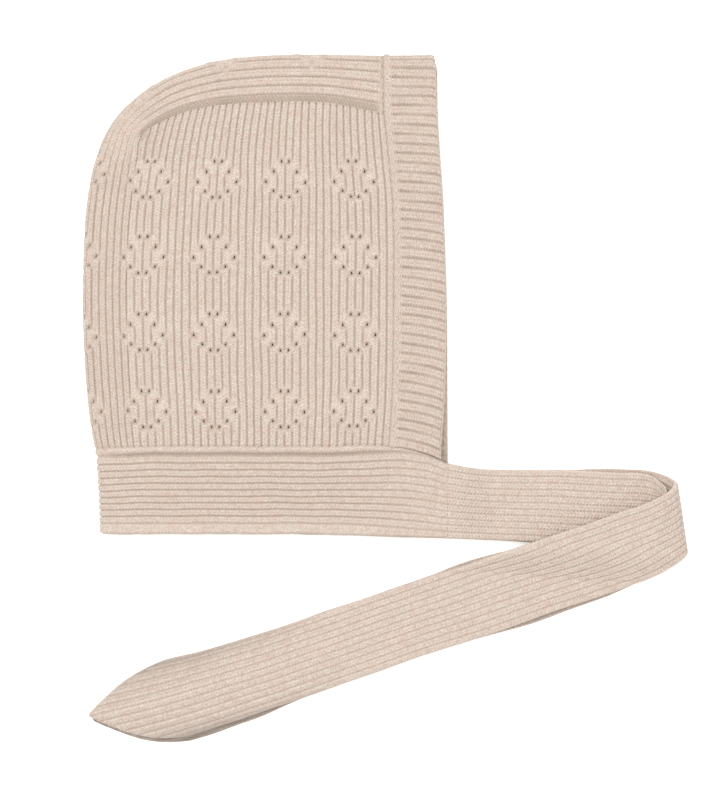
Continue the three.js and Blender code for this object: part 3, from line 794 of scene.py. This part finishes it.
tie = {
    "knit": 2.4,
    "nearKnit": 2.0,
    "ribs": 11,
    "ribSize": 2.75,
    "stitch": 1.36,
    "valley": 0.5,
    "under": -1,         # stitches by which each tie runs on under the end of the neck band
    "layer": 1.6,        # from the surface between the ties to the middle of each
    "nearLift": 5.4,     # how much higher the near tie leaves the neck band
    "nearLiftLength": 20,
    "farSlack": 1.6,     # how far the far tie stands off round the fold
    "nearSqueeze": 1.2,  # how far the near tie is pushed out into its own hairpin
    "drop": 14,
    "foldRow": 8,
    "farRise": 0.05,     # how far the far tie shows above the near one at the fold, in tie widths
    "tipSections": 3,    # sections in which the tie narrows to its point
    "tipAcross": 0.44,   # where the point lies across the tie
    "tipRound": 0.06,    # how blunt the point is
    "tipCut": 0.87,      # straight part of the cut to the point, in sections
    "tipShoulder": 0.36,  # rounded corner at each side of it
    "nearShorter": 0.04,
    "nearSlip": [        # section, how far the near tie shows below the far one, in tie widths
        (8, 0), (12, 0.005), (13, 0.02), (14, 0.055), (15, 0.045), (16, 0.01), (16.6, 0),
        (18.4, 0), (19, 0.06), (21, 0.06),
    ],
}
tieSections = [  # upper edge x, y, rise, then lower edge x, y, rise
    (150.1, 29.8, 0, 150.1, -0.95, 0), (159.1, 28.1, 0, 159.1, -1.25, 0),
    (168.1, 27.3, 0, 168.1, -1.6, 0), (196, 27.2, 0, 196, -3.2, 0),
    (220.6, 26, 0, 222.6, -4.8, 0), (230.2, 25.6, 0.05, 236.6, -5.8, 0),
    (234.9, 24.5, 0.75, 241.9, -6.3, 0.35), (238.4, 22.5, 2.45, 244.8, -6.9, 1.55),
    (240.2, 19.9, 4.95, 245.8, -8, 3.15), (239, 17.4, 7.45, 245, -9.6, 4.75),
    (235, 15.1, 8.85, 241.6, -11.7, 5.55), (228.8, 12.5, 9.15, 236.5, -14.6, 4.55),
    (220.2, 9.8, 8.55, 228.8, -18.5, 1.75), (208.7, 5.7, 7.25, 217.3, -23.2, 0),
    (185.3, -2.1, 6.15, 194.3, -30.6, 0), (173, -5.7, 4.75, 182.5, -35, 0),
    (158.3, -10.7, 1.55, 167.7, -40.2, 0), (138.6, -17.6, 0, 148, -46.3, 0),
    (99.2, -31.2, 0, 108.7, -60, 0), (59.9, -43.9, 0, 69.3, -73.6, 0),
    (27.9, -52.2, 0, 36.9, -84, 0), (-1.2, -59.3, 0, 7.9, -91.6, 0),
]
onFloor = tie["layer"] + tie["knit"] / 2
lastSection = len(tieSections) - 1
upperLine = splineThrough([(a, b, c + onFloor) for a, b, c, _, _, _ in tieSections])
lowerLine = splineThrough([(d, e, f + onFloor) for _, _, _, d, e, f in tieSections])
outgoingEdgeAt = tableCurve(column(tieSections[:6], 3), column(tieSections[:6], 4))
nearSlipAt = tableCurve(column(tie["nearSlip"], 0), column(tie["nearSlip"], 1))


def supportAt(x, y):  # rise over the outgoing ties beneath
    return lerp(2 * onFloor + 0.3, 0, smooth((outgoingEdgeAt(x) - y) / tie["drop"]))


def tieSurface(along, across):
    upper, lower = upperLine(along / lastSection), lowerLine(along / lastSection)
    point = lerp(upper, lower, across[..., None])
    straight = lerp(supportAt(upper[..., 0], upper[..., 1]), supportAt(lower[..., 0], lower[..., 1]), across)
    lift = (supportAt(point[..., 0], point[..., 1]) - straight) * smooth((along - tie["foldRow"]) / 3)
    point[..., 2] = np.maximum(point[..., 2] + lift, onFloor)
    return point


def tieNormal(along, across):
    step = 0.02
    ahead = tieSurface(np.minimum(along + step, lastSection), across) - tieSurface(
        np.maximum(along - step, 0), across)
    over = tieSurface(along, across + step) - tieSurface(along, across - step)
    normal = np.cross(ahead, over)
    return normal / np.linalg.norm(normal, axis=-1, keepdims=True)


sectionSteps = np.linspace(0, lastSection, 900)
midLine = tieSurface(sectionSteps, np.full(900, 0.5))
midLength = np.r_[0, np.cumsum(np.linalg.norm(np.diff(midLine, axis=0), axis=1))]
tieStitches = round(midLength[-1] / tie["stitch"])


def tieShape(near):
    facing = -1 if near else 1

    def tiePoint(rib, stitch):
        across = rib / tie["ribs"] if near else 1 - rib / tie["ribs"]
        row = np.interp(stitch / tieStitches * midLength[-1], midLength, sectionSteps)
        off = np.abs(across - tie["tipAcross"]) / np.where(across < tie["tipAcross"], tie["tipAcross"],
                                                           1 - tie["tipAcross"])
        cut = tie["tipCut"] * (np.hypot(off, tie["tipRound"]) - tie["tipRound"])
        cut = cut + tie["tipShoulder"] * off ** 6
        kept = (tie["tipSections"] - cut - (tie["nearShorter"] if near else 0)) / tie["tipSections"]
        tipStart = lastSection - tie["tipSections"]
        along = np.minimum(row, tipStart) + np.maximum(0, row - tipStart) * kept
        rise = tie["farRise"] * (1 - across) * smooth(along - 3) * smooth((11 - along) / 4)
        slip = nearSlipAt(along) if near else -rise
        middle = tieSurface(along, across + slip)
        normal = tieNormal(along, across + slip)
        atFold = (1 - across) * smooth(1 - np.abs(along - tie["foldRow"]) / 2)
        slack = (-tie["nearSqueeze"] if near else tie["farSlack"]) * atFold
        out = facing * (tie["layer"] + slack + tie["knit"] / 2)
        point = middle + normal * np.asarray(out)[..., None]
        point[..., 0] += np.minimum(stitch, 0) * tie["stitch"]
        point[..., 1] -= np.minimum(stitch, 0) * tie["stitch"] * 0.3 * (1 - across)
        point[..., 2] -= 0.12 * np.clip(stitch / tie["under"], 0, 1)
        if near:
            fallen = smooth((middle[..., 0] - layout["tieStart"]) / tie["nearLiftLength"])
            point[..., 2] += np.where(along < tie["foldRow"], tie["nearLift"] * (1 - fallen), 0)
        point[..., 1] += 0.15 * wander(stitch, rib, 7.0 + facing, 9.0)
        return point

    return tiePoint


def tieRelief(rib, stitch):
    height = ribHeight(rib, stitch, tie["valley"], 5.0, 0.1, 0.05)
    atEdge = np.minimum(rib, tie["ribs"] - rib) < 0.3
    # painted shade in the rib valleys, none at the side edges
    return np.where(atEdge, 0, height), np.where(atEdge, 0, 0.6 * ribPaintedShading(rib))


def tieRounded(rib, stitch):
    toSide = np.minimum(rib, tie["ribs"] - rib) * tie["ribSize"]
    toEnd = (tieStitches - stitch) * tie["stitch"]
    return np.maximum(roundedOff(toSide, tie["knit"] / 2), roundedOff(toEnd, tie["knit"] / 2))


for node, near in (("tie_near", True), ("tie_far", False)):
    piece = knitCloth(node + "_knit", tieShape(near), tieRelief, (0, tie["ribs"]),
                      (tie["under"], tieStitches), tie["nearKnit"] if near else tie["knit"],
                      rounded=tieRounded)
    finish(piece, node, tieMelangePaintedShade, "tie_knit", flat=(0.031, midLength[-1] / 1000), held="laid",
           rests_on=["Floor"], area=0.0303 * midLength[-1] / 1000)
print("ties knitted,", round(midLength[-1]), "mm long")

studio = {
    "floor": "#f4f3f1",
    "floorGlow": 0.3,     # keeps the paper white right up to the cloth
    "floorReach": 3.0,    # metres
    "softbox": 1.6,       # metres
    "softboxHeight": 1.5,
    "softboxPower": 26,
    "softboxPlace": (-0.22, 0.26),
    "fill": 0.75,
    "cameraHeight": 12.0,
    "viewCentre": (114.0, 55.8),  # in the layout, in mm
    "viewHeight": 0.328,  # metres of floor in view from top to bottom
}
floorMesh = bpy.data.meshes.new("Floor")
reach = studio["floorReach"]
floorMesh.from_pydata([(-reach, -reach, 0), (reach, -reach, 0), (reach, reach, 0), (-reach, reach, 0)],
                      [], [(0, 1, 2, 3)])
floor = bpy.data.objects.new("Floor", floorMesh)
bpy.context.scene.collection.objects.link(floor)
paper = bpy.data.materials.new("seamlessPaper")  # matt white paper sweep
paper.use_nodes = True
paperShader = paper.node_tree.nodes["Principled BSDF"].inputs
paperShader["Base Color"].default_value = linear(studio["floor"])
paperShader["Roughness"].default_value = 0.9
paperShader["Emission Color"].default_value = (1, 1, 1, 1)
paperShader["Emission Strength"].default_value = studio["floorGlow"]
floorMesh.materials.append(paper)

world = bpy.data.worlds.new("studio")
bpy.context.scene.world = world
world.use_nodes = True
world.node_tree.nodes["Background"].inputs["Color"].default_value = (1, 0.99, 0.98, 1)
world.node_tree.nodes["Background"].inputs["Strength"].default_value = studio["fill"]


def softLight(name, size, power, place, target):
    data = bpy.data.lights.new(name, "AREA")
    data.shape = "SQUARE"
    data.size = size
    data.energy = power
    lamp = bpy.data.objects.new(name, data)
    lamp.location = place
    aim = np.array(target) - np.array(place)
    lamp.rotation_euler = (math.acos(-aim[2] / np.linalg.norm(aim)), 0,
                           math.atan2(aim[1], aim[0]) - math.pi / 2)
    bpy.context.scene.collection.objects.link(lamp)


softLight("softbox", studio["softbox"], studio["softboxPower"],
          (*studio["softboxPlace"], studio["softboxHeight"]), (0, 0, 0))

camData = bpy.data.cameras.new("overhead")
camData.sensor_width = 36
camData.lens = 36 * studio["cameraHeight"] / studio["viewHeight"]
camData.clip_end = 30
camera = bpy.data.objects.new("overhead", camData)
centre = (np.array(studio["viewCentre"]) + origin[:2]) / 1000
camera.location = (centre[0], centre[1], studio["cameraHeight"])
bpy.context.scene.collection.objects.link(camera)
bpy.context.scene.camera = camera
bpy.context.scene.view_settings.view_transform = "Standard"
